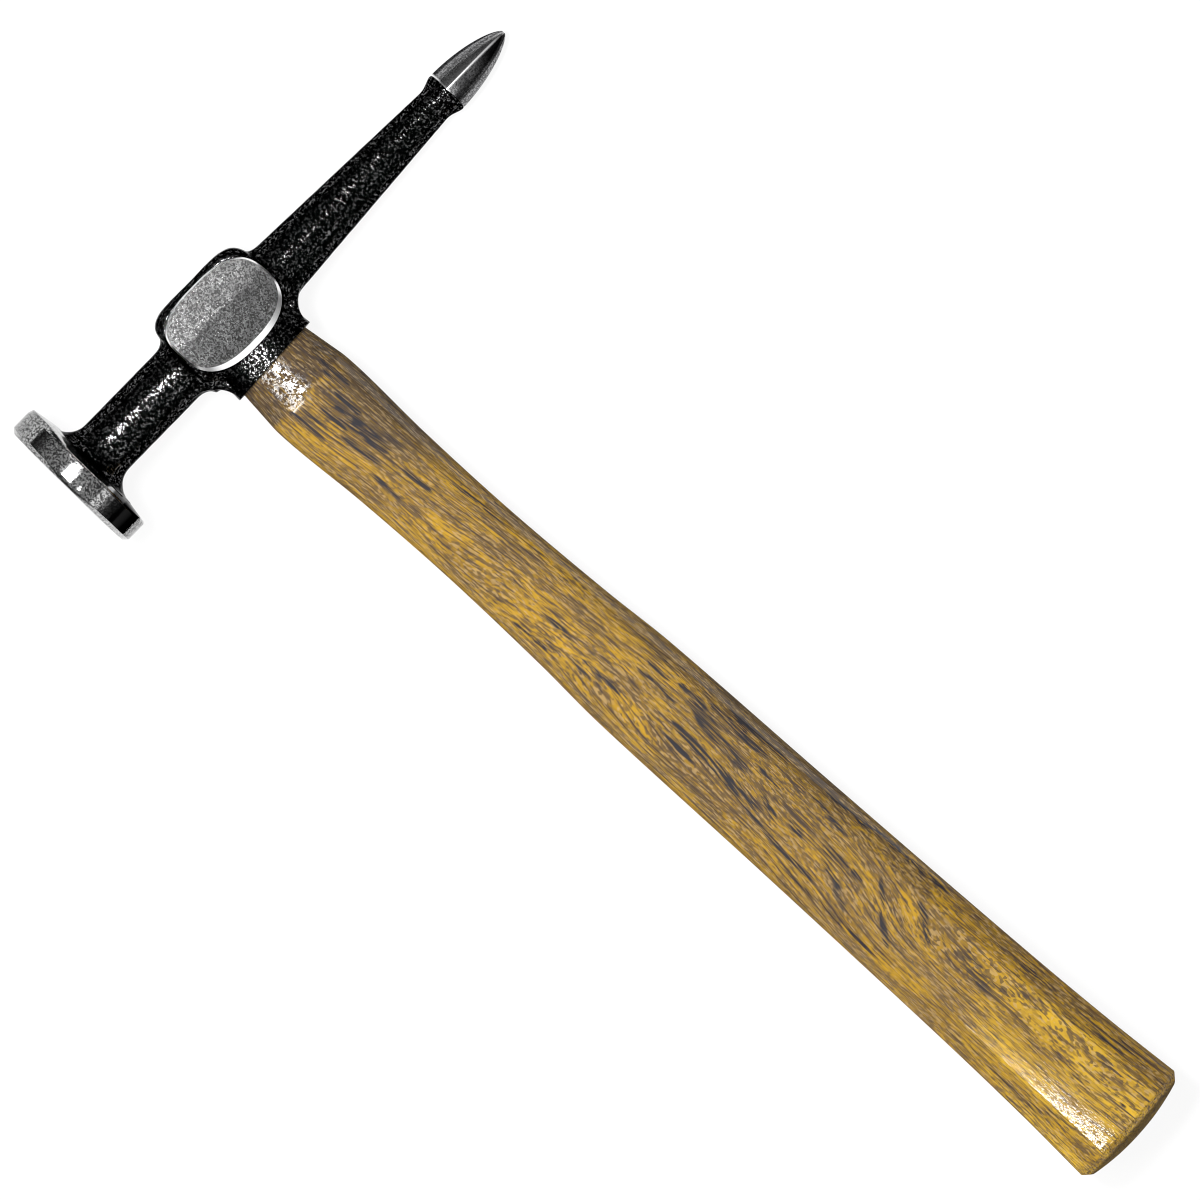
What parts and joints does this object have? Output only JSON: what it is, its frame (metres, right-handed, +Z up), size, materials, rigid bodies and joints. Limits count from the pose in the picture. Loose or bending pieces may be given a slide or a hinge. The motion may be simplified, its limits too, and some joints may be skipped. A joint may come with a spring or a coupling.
{
  "type": "auto body hammer",
  "caption": "Auto body hammer: round crowned striking face, ground cheek pads, long tapered arm with a ground point, and a wedged hickory handle with a flared butt.",
  "frame": {"origin": "middle of the bench under the hammer, which lies on its side on the disc's rim, the ground point and the butt", "axes": "+X down the handle to the butt, +Y along the head towards the point, +Z up from the bench"},
  "size_m": [0.3258, 0.158, 0.0403],
  "materials": {
    "forged_steel": "satin",
    "bright_steel": "satin",
    "hickory": "gloss",
    "wedge_wood": "matte"
  },
  "bodies": {
    "root": {"hammer_head": "forged_steel", "handle": "hickory", "wood_wedge": "wedge_wood", "steel_wedge_face_side": "bright_steel", "steel_wedge_point_side": "bright_steel"}
  },
  "joints": []
}
